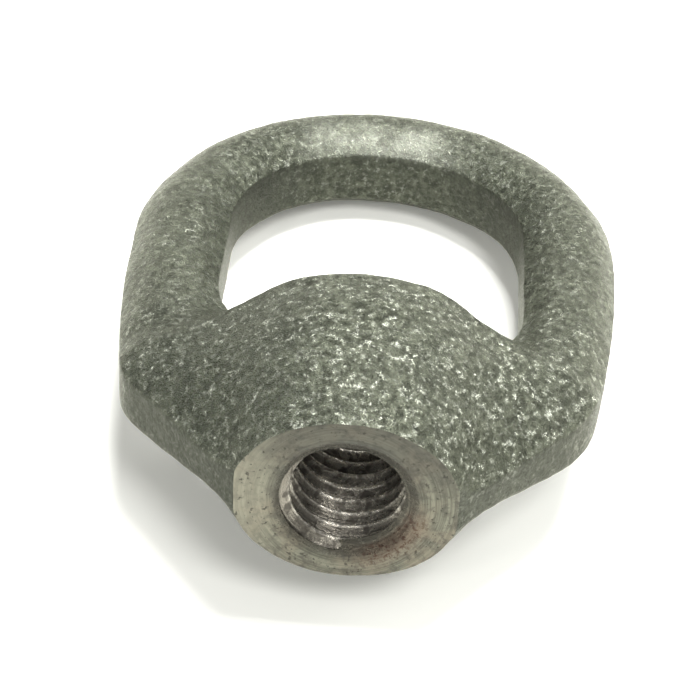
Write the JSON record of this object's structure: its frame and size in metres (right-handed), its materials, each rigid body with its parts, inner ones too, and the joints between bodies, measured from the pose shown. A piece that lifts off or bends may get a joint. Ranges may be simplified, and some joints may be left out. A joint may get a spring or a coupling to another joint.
{
  "type": "eye nut",
  "caption": "Forged oval eye nut with a flared boss, a machined end face and a tapped through bore, hot-dip galvanized.",
  "frame": {"origin": "middle of the bounding box, on the thread axis, halfway between the machined face and the crown of the eye", "axes": "+Y along the thread axis from the machined face toward the eye, +Z square to the flat of the eye, +X across the eye"},
  "size_m": [0.0636, 0.082, 0.0314],
  "materials": {
    "galvanized_steel": "hot-dip galvanized, dull and grainy, with a bare machined end face and thread"
  },
  "bodies": {
    "root": {"eye_nut": "galvanized_steel"}
  },
  "joints": []
}
